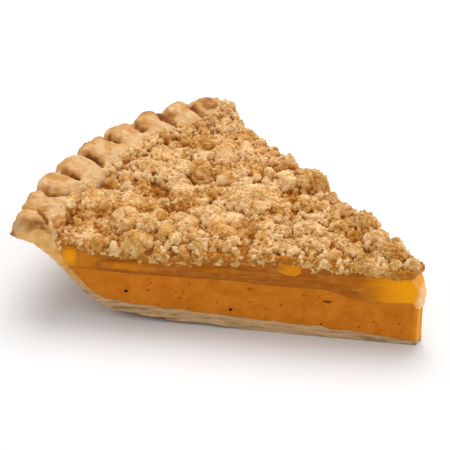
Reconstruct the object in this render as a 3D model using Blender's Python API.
"""A slice of peach sweet potato pie, as it was cut from a round pie.

From the bottom up it is a pastry crust with a fluted rim, a smooth sweet potato filling, sliced
peaches in their jelly, and a crumb topping. Each is a separate solid, and every layer runs through
the slice from one cut to the other.

+X points to the tip, +Y to the far cut and +Z up. The origin is on the flat underside, half way
along the slice. A place in the slice is given by r, its distance from the middle of the pie, and
by turn, its angle from the slice's centre line, which is positive towards +Y. The near cut goes
through the middle of the pie and the far one passes it a little way off, so the tip is blunt.
"""

import math
import random

import bmesh
import bpy
from mathutils import Matrix, Vector, noise

MM = 0.001
SEED = 11

# Driving sizes of the whole slice
RIM_RADIUS = 118 * MM
SLICE_ANGLE = math.radians(51)
TIP_RADIUS = 1.0 * MM
FAR_CUT_OFFSET = 2.2 * MM
FLAT_BASE_RADIUS = 84 * MM
GAP = 0.3 * MM
HALF_ANGLE = SLICE_ANGLE / 2
MIDDLE_X = RIM_RADIUS / 2

# Heights of the layers above the table
POTATO_TOP = 16.0 * MM
POTATO_DIP_AT_TIP = 3.0 * MM
POTATO_DIP_RADIUS = 21.5 * MM
PEACH_TOP = 22.2 * MM
CRUMB_TOP = 25.8 * MM

# The fluted rim, pinched by hand at these turns in degrees, and how far the lobe between each two
# pinches reaches outwards and upwards
PINCHES = [-29.5, -21.5, -15.5, -9.6, -3.5, 2.9, 8.8, 14.8, 19.9, 26]
LOBE_REACH = [-1.4, 0.2, 1.0, 1.0, 1.6, 1.6, 1.6, 0.8, -0.4]
LOBE_HEIGHT = [0, -0.2, 0.2, -0.3, 0.3, 0.3, 0.1, 0, -0.8]
RIM_STEPS = 52

# How closely the solids follow their curves
LAYER_STEPS = 12
LAYER_RUNGS = 18
CUT_WOBBLE = 0.25 * MM
CRUMB_OVERHANG = 1.2 * MM
CRUMB_FOOT = 1.5 * MM

# Section of the crust from the tip to the wall's top, as (r, height) under it and inside it
UNDERSIDE_WALL = [(84, 0), (90, 1.5), (94.4, 5.2), (98.3, 9.4), (102, 13.9), (105.8, 18.2)]
INSIDE_FLOOR = [(1.0, 1.6), (25, 3.1), (50, 4.2), (70, 5.1)]
INSIDE_WALL = [(84, 5.9), (91.6, 7), (95.6, 9.6), (99.4, 14), (102.4, 18.4), (104.4, 22.6)]
FLOOR_RUNGS = 5
WALL_RUNGS = 7

# Section of the rim, as (r, height) below and above, across a lobe and across a groove
LOBE_BELOW = [(109.4, 21.6), (113, 23.6), (116.6, 24.6), (118.4, 26.6), (118.2, 29)]
LOBE_ABOVE = [(105.2, 26.2), (107.2, 28.6), (110, 30), (113.4, 30.7), (116.2, 30.9)]
GROOVE_BELOW = [(109.4, 21.4), (112.8, 23.5), (115.6, 24.7), (117.4, 26.3), (117.2, 28)]
GROOVE_ABOVE = [(105.2, 26.1), (107.2, 28.3), (109.8, 28), (112.2, 27.6), (115, 28.8)]

# The same at the near cut, which runs along a pinch and leaves a thin lip there
LIP_BELOW = [(108.6, 20.8), (112, 23.3), (115, 24.1), (117.6, 24.9), (118.2, 25.6)]
LIP_ABOVE = [(105.4, 25.4), (107.8, 27.3), (110.4, 27.7), (113, 26.5), (116.2, 26.5)]
LIP_REACH = 3.5 * MM

# Slices of peach: name, r, side of the slice, half length, half depth, half height, height, tilt
PEACHES = [
    ("peach_slice_near_1", 37.5, -1, 3.6, 12, 2.0, 21.8, 6),
    ("peach_slice_near_2", 57, -1, 9.5, 9, 2.4, 18.9, -5),
    ("peach_slice_near_3", 84, -1, 10.5, 10, 1.9, 18.2, 2),
    ("peach_slice_near_4", 98.6, -1, 4.6, 8, 3.4, 19.8, 38),
    ("peach_slice_far_1", 34, 1, 8.0, 7, 2.6, 19.4, 6),
    ("peach_slice_far_2", 61, 1, 9.0, 11, 2.5, 19.0, -4),
    ("peach_slice_far_3", 88, 1, 7.5, 9, 2.7, 19.2, 8),
]
TIP_PEACH_REACH = 21 * MM
TIP_PEACH_BULGE = 1.7 * MM

# Large crumbs that stand out: r, turn in degrees, half length, half width, half height, heading
LARGE_CRUMBS = [
    (101, -13, 8.0, 6.5, 2.6, 20),
    (106, -20.5, 4.2, 2.8, 3.0, 60),
    (62, 4, 8.8, 7.6, 3.6, 10),
    (83, 6, 4.2, 3.6, 3.8, 0),
    (74, 9, 5.4, 2.8, 3.0, 65),
    (82, -22.6, 4.8, 4.0, 3.4, 15),
    (74, -19, 3.8, 3.0, 2.8, 80),
    (102, 22.2, 6.4, 4.8, 3.2, 40),
    (89, 23.4, 3.6, 3.0, 2.4, 75),
    (69, 22.4, 4.4, 3.6, 2.9, 20),
    (54, 21.6, 5.2, 4.4, 4.2, 5),
    (45, 21.8, 3.6, 2.8, 2.4, 30),
    (38, 21, 3.4, 2.8, 2.2, 60),
    (27.5, 19, 4.2, 3.6, 3.5, 70),
    (18.5, 12, 4.2, 3.2, 2.8, 20),
    (11, 6, 3.6, 3.4, 2.6, 0),
    (4.6, 0, 2.6, 2.6, 1.8, 0),
    (38, -19.5, 2.9, 2.2, 2.4, 50),
    (30, 5, 4.4, 3.4, 3.2, 35),
    (22, -8, 3.4, 2.8, 2.6, 55),
    (96, 2, 4.0, 3.2, 3.0, 15),
    (48, -8, 4.2, 3.4, 2.8, 75),
    (90, -4, 3.4, 3.0, 2.6, 45),
    (93, 15, 3.8, 3.2, 3.2, 20),
]
SMALL_CRUMBS = 78
SHORTEST_EDGE = 0.05 * MM
CRUMB_SIZE = (1.6 * MM, 3.4 * MM)
CRUMB_OUTER_RADIUS = 103 * MM

CRUST_COLOUR = (0.62, 0.39, 0.18)
POTATO_COLOUR = (0.62, 0.22, 0.02)
JELLY_COLOUR = (0.42, 0.15, 0.02)
PEACH_COLOUR = (0.78, 0.36, 0.01)
CRUMB_COLOUR = (0.66, 0.38, 0.14)


def clear_scene():
    for old in list(bpy.data.objects):
        bpy.data.objects.remove(old)


def food_material(name, colour, roughness):
    """A plain food surface of one colour."""
    material = bpy.data.materials.new(name)
    material.use_nodes = True
    shader = material.node_tree.nodes["Principled BSDF"]
    shader.inputs["Base Color"].default_value = (*colour, 1)
    shader.inputs["Roughness"].default_value = roughness
    shader.inputs["Metallic"].default_value = 0
    return material


def blend(low, high, share):
    return low + (high - low) * share


def eased(low, high, value):
    """0 up to low, 1 from high on, and a smooth rise between them."""
    share = min(max((value - low) / (high - low), 0), 1)
    return share * share * (3 - 2 * share)


def hump(centre, width, value):
    """A smooth hump of height 1 at centre, which fades over width to each side."""
    return math.exp(-(((value - centre) / width) ** 2))


def aside(r, turn):
    """How far a place is moved towards +Y, because the far cut misses the middle of the pie."""
    return FAR_CUT_OFFSET * (0.5 + 0.5 * turn / HALF_ANGLE) * (1 - r / RIM_RADIUS)


def place(r, turn, height):
    across = r * math.sin(turn) + aside(r, turn)
    return Vector((MIDDLE_X - r * math.cos(turn), across, height))


def r_and_turn(spot):
    """The r and turn of a place, found from its x and y."""
    along = MIDDLE_X - spot.x
    r = abs(along)
    turn = 0
    for _ in range(6):
        across = spot.y - aside(r, turn)
        turn = math.atan2(across, max(along, TIP_RADIUS))
        turn = min(max(turn, -HALF_ANGLE * 1.5), HALF_ANGLE * 1.5)
        r = math.hypot(along, across)
    return r, turn


def unevenness(r, turn, scale, level):
    """A smooth value from about -1 to 1 over the slice, whose swells are scale wide."""
    return noise.noise(place(r, turn, level * scale) / scale)


def near_cut(r, turn, reach):
    """1 at the near cut, falling to 0 at a distance of reach inside it."""
    return 1 - eased(0, reach, r * (turn + HALF_ANGLE))


def smooth_line(points, count):
    """count places along a smooth curve through the points, which are in millimetres."""
    knots = [Vector(p) * MM for p in points]
    knots = [knots[0] * 2 - knots[1], *knots, knots[-1] * 2 - knots[-2]]
    spans = len(knots) - 3
    line = []
    for step in range(count):
        along = spans * step / (count - 1)
        span = min(int(along), spans - 1)
        t = along - span
        a, b, c, d = knots[span : span + 4]
        bend = a * -1 + b * 3 - c * 3 + d
        curve = a * 2 - b * 5 + c * 4 - d
        line.append((b * 2 + (c - a) * t + curve * t * t + bend * t**3) / 2)
    return line


def potato_surface(r, turn):
    """Height where the sweet potato filling meets the peaches."""
    dip = 1 - eased(POTATO_DIP_RADIUS - 7 * MM, POTATO_DIP_RADIUS + 7 * MM, r)
    waves = 0.55 * MM * unevenness(r, turn, 17 * MM, 3)
    return POTATO_TOP - POTATO_DIP_AT_TIP * dip + waves


def peach_surface(r, turn):
    """Height where the peaches meet the crumb topping."""
    near = near_cut(r, turn, 14 * MM)
    swell = 1.5 * MM * hump(42 * MM, 11 * MM, r)
    hollow = 2.2 * MM * hump(78 * MM, 10 * MM, r)
    waves = 0.8 * MM * unevenness(r, turn, 13 * MM, 7)
    return PEACH_TOP + (swell - hollow) * near + waves


def crumb_surface(r, turn):
    """Height of the packed crumbs, on which the loose ones lie."""
    swells = 1.4 * MM * unevenness(r, turn, 15 * MM, 5)
    return CRUMB_TOP + swells + 0.9 * MM * unevenness(r, turn, 6 * MM, 9)


def even_turns(steps, overhang=0.0):
    """Angles across the slice, from the near cut to the far one, as functions of r."""
    shares = [2 * step / steps - 1 for step in range(steps + 1)]

    def turn_at(share):
        return lambda r: share * (HALF_ANGLE + overhang / r)

    return [turn_at(share) for share in shares]


def layered_solid(name, turns, rungs_at, wobble=0.0):
    """A closed mesh swept across the slice.

    rungs_at(turn) lists the section there as rungs from the tip outwards, each a pair of
    (r, height) below and above. wobble makes the two cut faces slightly uneven.
    """
    mesh = bmesh.new()
    loops = []
    caps = []
    for index, turn_at in enumerate(turns):
        rungs = rungs_at(turn_at(RIM_RADIUS))
        is_cut = index in (0, len(turns) - 1)
        side = -1 if index == 0 else 1

        def corner(r, height, side=side, is_cut=is_cut, turn_at=turn_at):
            turn = turn_at(r)
            if is_cut and wobble:
                rough = noise.noise(Vector((r, height * 2, side)) / (5 * MM))
                turn -= side * wobble * (0.5 + 0.5 * rough) / max(r, TIP_RADIUS)
            return mesh.verts.new(place(r, turn, height))

        below = [corner(*rung[0]) for rung in rungs]
        above = [corner(*rung[1]) for rung in rungs]
        loops.append(below + above[::-1])
        if is_cut:
            caps.append((below, above))
    size = len(loops[0])
    for first, second in zip(loops, loops[1:]):
        for k in range(size):
            after = (k + 1) % size
            mesh.faces.new((first[k], first[after], second[after], second[k]))
    for below, above in caps:
        for k in range(len(below) - 1):
            mesh.faces.new((below[k], above[k], above[k + 1], below[k + 1]))
    bmesh.ops.recalc_face_normals(mesh, faces=mesh.faces)
    if mesh.calc_volume(signed=True) < 0:
        bmesh.ops.reverse_faces(mesh, faces=mesh.faces)
    return object_from(name, mesh)


def object_from(name, mesh):
    data = bpy.data.meshes.new(name)
    mesh.to_mesh(data)
    mesh.free()
    made = bpy.data.objects.new(name, data)
    bpy.context.scene.collection.objects.link(made)
    return made


def boolean(target, operation, operand=None, collection=None):
    """Joins, cuts or trims target with another object or with a collection, for good."""
    modifier = target.modifiers.new("join", "BOOLEAN")
    modifier.operation = operation
    modifier.solver = "MANIFOLD"
    if collection:
        modifier.operand_type = "COLLECTION"
        modifier.collection = collection
    else:
        modifier.object = operand
    graph = bpy.context.evaluated_depsgraph_get()
    result = bpy.data.meshes.new_from_object(target.evaluated_get(graph))
    target.modifiers.clear()
    target.data = result


def remove_objects(objects):
    for used in list(objects):
        bpy.data.objects.remove(used)


def keep_largest_body(target):
    """Drops the loose scraps that a cut leaves."""
    mesh = bmesh.new()
    mesh.from_mesh(target.data)
    left = set(mesh.verts)
    bodies = []
    while left:
        waiting = [left.pop()]
        body = list(waiting)
        while waiting:
            for edge in waiting.pop().link_edges:
                for vert in edge.verts:
                    if vert in left:
                        left.remove(vert)
                        waiting.append(vert)
                        body.append(vert)
        bodies.append(body)
    bodies.sort(key=len)
    scraps = [vert for body in bodies[:-1] for vert in body]
    bmesh.ops.delete(mesh, geom=scraps, context="VERTS")
    mesh.to_mesh(target.data)
    mesh.free()


def close_up_short_edges(target):
    """Merges the two ends of each edge that is too short, where the surface stays whole."""
    mesh = bmesh.new()
    mesh.from_mesh(target.data)
    bmesh.ops.triangulate(mesh, faces=mesh.faces)
    short = True
    while short:
        short = None
        for edge in mesh.edges:
            if edge.calc_length() > SHORTEST_EDGE:
                continue
            around = [{link.other_vert(vert) for link in vert.link_edges} for vert in edge.verts]
            if len(around[0] & around[1]) == 2:
                short = edge
                break
        if short:
            first, second = short.verts
            middle = (first.co + second.co) / 2
            bmesh.ops.pointmerge(mesh, verts=[first, second], merge_co=middle)
    mesh.to_mesh(target.data)
    mesh.free()


def inside_section():
    """The crust's inside, from the tip to the top of its wall."""
    floor = smooth_line([*INSIDE_FLOOR, INSIDE_WALL[0]], FLOOR_RUNGS + 1)[:-1]
    return floor + smooth_line(INSIDE_WALL, WALL_RUNGS)


def underside_section():
    """The crust's underside, flat as far as the wall's foot."""
    floor = [
        Vector((blend(TIP_RADIUS, FLAT_BASE_RADIUS, step / FLOOR_RUNGS), 0))
        for step in range(FLOOR_RUNGS)
    ]
    wall = smooth_line(UNDERSIDE_WALL, WALL_RUNGS)
    return floor + [Vector((r, max(height, 0))) for r, height in wall]


def broken_edge(r, turn):
    """How far the underside rises at the near cut, where a flake of crust has come away."""
    step = eased(54 * MM, 58 * MM, r) * 0.8 * MM
    curl = 1.0 * MM * hump(85 * MM, 9 * MM, r)
    fade = 1 - eased(90 * MM, 98 * MM, r)
    return (step + curl) * fade * near_cut(r, turn, 6 * MM)


def flute(turn):
    """The lobe at a turn of the rim, and how far over it that is, from 0 at one pinch to 1."""
    degrees = math.degrees(turn)
    for lobe, (low, high) in enumerate(zip(PINCHES, PINCHES[1:])):
        if degrees < high:
            break
    return lobe, min(max((degrees - low) / (high - low), 0), 1)


def crust_rungs(turn):
    """The crust's section at one angle, from the tip to the outside of the rim."""
    rungs = []
    for below, inside in zip(underside_section(), inside_section()):
        lifted = below.y + broken_edge(below.x, turn)
        rungs.append(((below.x, lifted), tuple(inside)))
    number, across = flute(turn)
    share = math.sin(math.pi * across) ** 0.7
    lower = zip(LOBE_BELOW, GROOVE_BELOW, LIP_BELOW)
    upper = zip(LOBE_ABOVE, GROOVE_ABOVE, LIP_ABOVE)
    for step, sides in enumerate(zip(lower, upper)):
        growth = Vector((LOBE_REACH[number], LOBE_HEIGHT[number])) * step / len(LOBE_BELOW)
        rung = []
        for crown, groove, lip in sides:
            corner = Vector(groove).lerp(Vector(crown) + growth, share)
            corner = corner.lerp(Vector(lip), near_cut(corner.x * MM, turn, LIP_REACH)) * MM
            rung.append(tuple(corner))
        rungs.append(tuple(rung))
    return rungs


def make_crust():
    return layered_solid("crust", even_turns(RIM_STEPS), crust_rungs, CUT_WOBBLE)


def wall_radius(height):
    """The inside radius of the crust's wall at a height."""
    wall = smooth_line([*INSIDE_WALL, LOBE_ABOVE[0]], 24)
    for low, high in zip(wall, wall[1:]):
        if low.y <= height <= high.y:
            return blend(low.x, high.x, (height - low.y) / (high.y - low.y))
    return wall[-1].x


def rung_radii(outer):
    """Where the sections of the layers have their corners, from the tip to outer."""
    return [blend(TIP_RADIUS, outer, step / (LAYER_RUNGS - 1)) for step in range(LAYER_RUNGS)]


def layer_radii(height):
    """The same inside the crust, for the surface between two layers at a height."""
    return rung_radii(wall_radius(height) - GAP * 1.5)


def make_potato():
    """The sweet potato filling, which fills the crust up to its wavy top."""
    floor = [point for point in inside_section() if point.y < POTATO_TOP - 1 * MM]
    radii = layer_radii(POTATO_TOP)

    def rungs_at(turn):
        rungs = []
        for step, r in enumerate(radii):
            along = step / (len(radii) - 1) * (len(floor) - 1)
            index = min(int(along), len(floor) - 2)
            low = floor[index].lerp(floor[index + 1], along - index)
            low = low + Vector((-GAP * 0.8 if step else 0, GAP))
            rungs.append((tuple(low), (r, potato_surface(r, turn) - GAP / 2)))
        return rungs

    return layered_solid("sweet_potato_filling", even_turns(LAYER_STEPS), rungs_at, CUT_WOBBLE)


def peach_space(name, wobble):
    """The whole layer between the sweet potato and the crumbs, as one closed mesh."""
    low_radii = layer_radii(POTATO_TOP)
    high_radii = layer_radii(PEACH_TOP)

    def rungs_at(turn):
        return [
            (
                (low, potato_surface(low, turn) + GAP / 2),
                (high, peach_surface(high, turn) - GAP / 2),
            )
            for low, high in zip(low_radii, high_radii)
        ]

    return layered_solid(name, even_turns(LAYER_STEPS), rungs_at, wobble)


def peach_shape(name, r, side, halves, height, tilt, grown):
    """A rounded slice of peach, crossed by the cut, and larger by grown all round."""
    mesh = bmesh.new()
    bmesh.ops.create_icosphere(mesh, subdivisions=2, radius=1)
    off_cut = Matrix.Rotation(0.7, 3, "X") @ Matrix.Rotation(0.4, 3, "Y")
    bmesh.ops.rotate(mesh, cent=(0, 0, 0), matrix=off_cut, verts=mesh.verts)
    for vert in mesh.verts:
        squared = Vector([math.copysign(abs(c) ** 0.8, c) for c in vert.co])
        lumps = 1 + 0.08 * noise.noise(vert.co * 1.4 + Vector((r * 90, side, 0)))
        vert.co = Vector([c * (half * MM * lumps + grown) for c, half in zip(squared, halves)])
    turn = side * HALF_ANGLE
    outwards = Matrix.Rotation(math.pi - turn, 4, "Z")
    leaning = Matrix.Rotation(math.radians(tilt), 4, "Y")
    spot = Matrix.Translation(place(r * MM, turn, height * MM))
    bmesh.ops.transform(mesh, matrix=spot @ outwards @ leaning, verts=mesh.verts)
    return object_from(name, mesh)


def tip_peach_shape(name, grown):
    """The slice of peach that fills the tip, cut across on both sides."""
    halves = (15, 18, 8)
    mesh = bmesh.new()
    bmesh.ops.create_icosphere(mesh, subdivisions=2, radius=1)
    for vert in mesh.verts:
        vert.co = Vector([c * (half * MM + grown) for c, half in zip(vert.co, halves)])
    middle = place(TIP_PEACH_REACH - halves[0] * MM, 0, 18 * MM)
    leaning = Matrix.Rotation(math.radians(8), 4, "Y")
    bmesh.ops.transform(
        mesh, matrix=Matrix.Translation(middle) @ leaning, verts=mesh.verts
    )
    return object_from(name, mesh)


def make_peaches():
    """The peach slices that show at the cuts, and the jelly with the rest around them."""
    jelly = peach_space("peach_jelly", CUT_WOBBLE)
    pieces = []
    shapes = [(row[0], lambda name, grown, row=row: peach_shape(
        name, row[1], row[2], row[3:6], row[6], row[7], grown)) for row in PEACHES]
    shapes.append(("peach_slice_tip", tip_peach_shape))
    for name, shape in shapes:
        cutter = shape("cutter", GAP)
        boolean(jelly, "DIFFERENCE", cutter)
        remove_objects([cutter])
        piece = peach_space(name, 0)
        whole = shape("whole", 0)
        boolean(piece, "INTERSECT", whole)
        remove_objects([whole])
        keep_largest_body(piece)
        pieces.append(piece)
    keep_largest_body(jelly)
    add_tip_bulge(pieces[-1])
    return jelly, pieces


def add_tip_bulge(tip_peach):
    """The end of the tip's peach swells out a little beyond the cut."""
    mesh = bmesh.new()
    bmesh.ops.create_icosphere(mesh, subdivisions=2, radius=1)
    halves = Vector((2.6, 2.3, 3.3)) * MM
    for vert in mesh.verts:
        lumps = 1 + 0.15 * noise.noise(vert.co * 2)
        vert.co = Vector([c * half * lumps for c, half in zip(vert.co, halves)])
    spot = place(TIP_RADIUS - TIP_PEACH_BULGE + halves.x, 0, 17.4 * MM)
    bmesh.ops.transform(mesh, matrix=Matrix.Translation(spot), verts=mesh.verts)
    bulge = object_from("bulge", mesh)
    boolean(tip_peach, "UNION", bulge)
    remove_objects([bulge])


def crumb_shape(draw, spot, halves, heading, fineness):
    """One rough crumb with few sides, whose foot is sunk in the packed bed."""
    mesh = bmesh.new()
    bmesh.ops.create_icosphere(mesh, subdivisions=fineness, radius=1)
    offset = Vector([draw.uniform(0, 50) for _ in range(3)])
    for vert in mesh.verts:
        rough = 1 + 0.34 * noise.noise(vert.co * 1.7 + offset)
        vert.co = Vector([c * half * rough for c, half in zip(vert.co, halves)])
    turned = Matrix.Rotation(heading, 4, "Z") @ Matrix.Rotation(draw.uniform(-0.3, 0.3), 4, "X")
    bmesh.ops.transform(mesh, matrix=Matrix.Translation(spot) @ turned, verts=mesh.verts)
    for vert in mesh.verts:
        vert.co = kept_in_topping(vert.co)
    return object_from("crumb", mesh)


def kept_in_topping(spot):
    """The nearest place to spot that is over the peaches, inside the rim and near the slice."""
    r, turn = r_and_turn(spot)
    height = max(spot.z, crumb_surface(r, turn) - CRUMB_FOOT)
    r = min(r, rim_radius(height) - 3 * GAP)
    limit = HALF_ANGLE + CRUMB_OVERHANG / max(r, TIP_RADIUS)
    return place(r, min(max(turn, -limit), limit), height)


def rim_radius(height):
    """The radius of the rim's inside above the wall, and of its highest lobes further up."""
    line = [Vector(point) * MM for point in [INSIDE_WALL[-1], *LOBE_ABOVE]]
    highest = max(LOBE_HEIGHT) * MM
    for low, high in zip(line, line[1:]):
        if height < high.y + highest:
            share = (height - low.y - highest) / (high.y - low.y)
            return blend(low.x, high.x, max(share, 0))
    return line[-1].x


def make_crumbs():
    """The crumb topping: a packed bed with the crumbs that show fused on."""
    draw = random.Random(SEED)

    low_radii = layer_radii(PEACH_TOP)
    high_radii = rung_radii(CRUMB_OUTER_RADIUS)

    def bed_rungs(turn):
        return [
            ((low, peach_surface(low, turn) + GAP / 2), (high, crumb_surface(high, turn)))
            for low, high in zip(low_radii, high_radii)
        ]

    bed = layered_solid("crumb_topping", even_turns(LAYER_STEPS), bed_rungs, CUT_WOBBLE)
    crumbs = bpy.data.collections.new("crumbs")
    bpy.context.scene.collection.children.link(crumbs)

    def lay(crumb):
        bpy.context.scene.collection.objects.unlink(crumb)
        crumbs.objects.link(crumb)

    for r, degrees, length, width, height, heading in LARGE_CRUMBS:
        turn = math.radians(degrees)
        halves = (length * MM, width * MM, height * MM)
        spot = place(r * MM, turn, crumb_surface(r * MM, turn) + height * MM * 0.25)
        lay(crumb_shape(draw, spot, halves, math.radians(heading) - turn, 2))
    for _ in range(SMALL_CRUMBS):
        size = blend(*CRUMB_SIZE, draw.random() ** 2)
        r = math.sqrt(draw.uniform(0.002, 1)) * (CRUMB_OUTER_RADIUS + 1 * MM)
        limit = max(HALF_ANGLE - (size * 1.1 - CRUMB_OVERHANG) / r, 0)
        turn = draw.uniform(-limit, limit)
        halves = [size * draw.uniform(0.75, 1.2) for _ in range(3)]
        spot = place(r, turn, crumb_surface(r, turn) + size * draw.uniform(0, 0.45))
        lay(crumb_shape(draw, spot, halves, draw.uniform(0, math.tau), 1))
    boolean(bed, "UNION", collection=crumbs)
    remove_objects(crumbs.objects)
    bpy.data.collections.remove(crumbs)
    close_up_short_edges(bed)
    keep_largest_body(bed)
    return bed


def main():
    clear_scene()
    crust = make_crust()
    crust.data.materials.append(food_material("baked pastry", CRUST_COLOUR, 0.7))
    potato = make_potato()
    potato.data.materials.append(food_material("sweet potato", POTATO_COLOUR, 0.45))
    jelly, peaches = make_peaches()
    jelly.data.materials.clear()
    jelly.data.materials.append(food_material("peach jelly", JELLY_COLOUR, 0.25))
    peach_flesh = food_material("peach flesh", PEACH_COLOUR, 0.3)
    for peach in peaches:
        peach.data.materials.clear()
        peach.data.materials.append(peach_flesh)
    crumbs = make_crumbs()
    crumbs.data.materials.clear()
    crumbs.data.materials.append(food_material("crumb topping", CRUMB_COLOUR, 0.85))


main()
